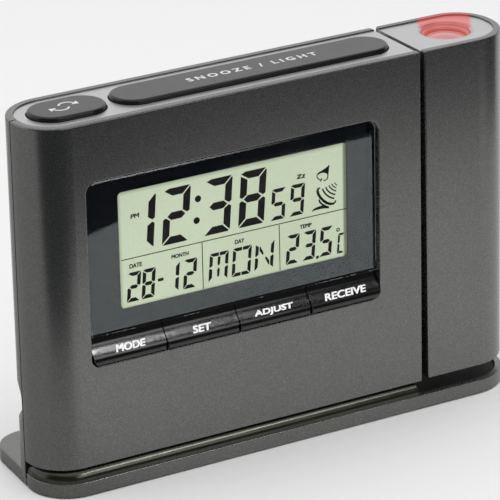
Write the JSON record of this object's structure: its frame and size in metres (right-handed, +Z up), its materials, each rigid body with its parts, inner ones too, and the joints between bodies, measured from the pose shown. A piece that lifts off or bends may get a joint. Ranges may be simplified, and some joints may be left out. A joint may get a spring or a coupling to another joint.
{
  "type": "projection alarm clock",
  "caption": "Slim upright alarm clock with a wide liquid crystal display, front keys, a long snooze bar and a tilting projector arm beside it, on a flat foot.",
  "frame": {"origin": "middle of the box of the clock at the surface that it stands on", "axes": "+X along the clock's width towards the projector arm, +Y from the display towards the back, +Z up"},
  "size_m": [0.1424, 0.0384, 0.1001],
  "materials": {
    "body_paint": "metallic grey paint, satin",
    "silver_paint": "metallic silver paint, satin",
    "gloss_black": "polished",
    "clear_window": "clear moulded acrylic, polished",
    "red_lens": "polished, glows red",
    "mask_ink": "printed black",
    "lcd_glass": "reflective liquid crystal cell",
    "white_plastic": "moulded",
    "black_plastic": "moulded",
    "rubber": "moulded",
    "circuit_board": "solder mask",
    "steel": "zinc plated",
    "nickel_spring": "nickel plated",
    "cell_sleeve": "plain shrink sleeve",
    "ferrite": "sintered",
    "copper_wire": "enamelled",
    "led_red": "clear red epoxy"
  },
  "bodies": {
    "clock_body": {"front_shell": "body_paint", "rear_shell": "body_paint", "base_plate": "body_paint", "base_pads": "rubber", "base_trim": "body_paint", "body_top_plate": "silver_paint", "display_window": "clear_window", "display_mask": "mask_ink", "lcd_panel": "lcd_glass", "lcd_frame": "white_plastic", "backlight_guide": "white_plastic", "zebra_strips": "rubber", "main_pcb": "circuit_board", "pcb_screws": "steel", "clock_chip": "black_plastic", "quartz_crystal": "steel", "front_switches": "black_plastic", "top_key_board": "circuit_board", "top_switches": "black_plastic", "radio_board": "circuit_board", "ferrite_rod": "ferrite", "antenna_coil": "copper_wire", "buzzer": "black_plastic", "dc_jack": "black_plastic", "battery_cells": "cell_sleeve", "battery_contacts": "nickel_spring", "shell_screws": "steel", "base_screws": "steel", "pivot_bush": "black_plastic", "pivot_spring": "steel", "projector_lead": "rubber"},
    "battery_cover": {"battery_door": "body_paint"},
    "mode_key": {"mode_button": "gloss_black", "mode_plunger": "rubber"},
    "set_key": {"set_button": "gloss_black", "set_plunger": "rubber"},
    "adjust_key": {"adjust_button": "gloss_black", "adjust_plunger": "rubber"},
    "receive_key": {"receive_button": "gloss_black", "receive_plunger": "rubber"},
    "snooze_key": {"snooze_button": "gloss_black", "snooze_plungers": "rubber"},
    "flip_key": {"flip_button": "gloss_black", "flip_plunger": "rubber"},
    "projector": {"arm_shell": "body_paint", "arm_side_plate": "body_paint", "arm_screws": "steel", "arm_top_plate": "silver_paint", "optics_tube": "black_plastic", "projector_lcd": "lcd_glass", "condenser_lens": "clear_window", "projector_led": "led_red", "projector_board": "circuit_board", "pivot_clip": "steel"},
    "lens_slider": {"lens_barrel": "black_plastic", "projection_lens": "red_lens"},
    "focus_wheel": {"focus_knob": "gloss_black"}
  },
  "joints": [
    {"name": "mode_press", "type": "slide", "parent": "clock_body", "child": "mode_key", "axis": [0, 1, 0], "range_m": [0, 0.0005], "stiffness_N_per_m": 700, "springref_m": -0.001},
    {"name": "set_press", "type": "slide", "parent": "clock_body", "child": "set_key", "axis": [0, 1, 0], "range_m": [0, 0.0005], "stiffness_N_per_m": 700, "springref_m": -0.001},
    {"name": "adjust_press", "type": "slide", "parent": "clock_body", "child": "adjust_key", "axis": [0, 1, 0], "range_m": [0, 0.0005], "stiffness_N_per_m": 700, "springref_m": -0.001},
    {"name": "receive_press", "type": "slide", "parent": "clock_body", "child": "receive_key", "axis": [0, 1, 0], "range_m": [0, 0.0005], "stiffness_N_per_m": 700, "springref_m": -0.001},
    {"name": "snooze_press", "type": "slide", "parent": "clock_body", "child": "snooze_key", "axis": [0, 0, -1], "range_m": [0, 0.0006], "stiffness_N_per_m": 900, "springref_m": -0.001},
    {"name": "flip_press", "type": "slide", "parent": "clock_body", "child": "flip_key", "axis": [0, 0, -1], "range_m": [0, 0.0006], "stiffness_N_per_m": 700, "springref_m": -0.001},
    {"name": "battery_cover_off", "type": "slide", "parent": "clock_body", "child": "battery_cover", "axis": [0, 1, 0], "range_m": [0, 0.015]},
    {"name": "projector_tilt", "type": "hinge", "parent": "clock_body", "child": "projector", "pos_m": [0.0409, -0.0054, 0.05334], "axis": [1, 0, 0], "range_deg": [-90, 90]},
    {"name": "focus_turn", "type": "hinge", "parent": "projector", "child": "focus_wheel", "pos_m": [0.0563, 0.00685, 0.084], "axis": [0, -1, 0], "range_deg": [-35, 35]},
    {"name": "lens_focus", "type": "slide", "parent": "projector", "child": "lens_slider", "axis": [0, 0, 1], "range_m": [-0.00073, 0.00073]}
  ],
  "couplings": [
    {"joint": "focus_turn", "follows": "lens_focus", "rad_per_m": 833.33}
  ]
}
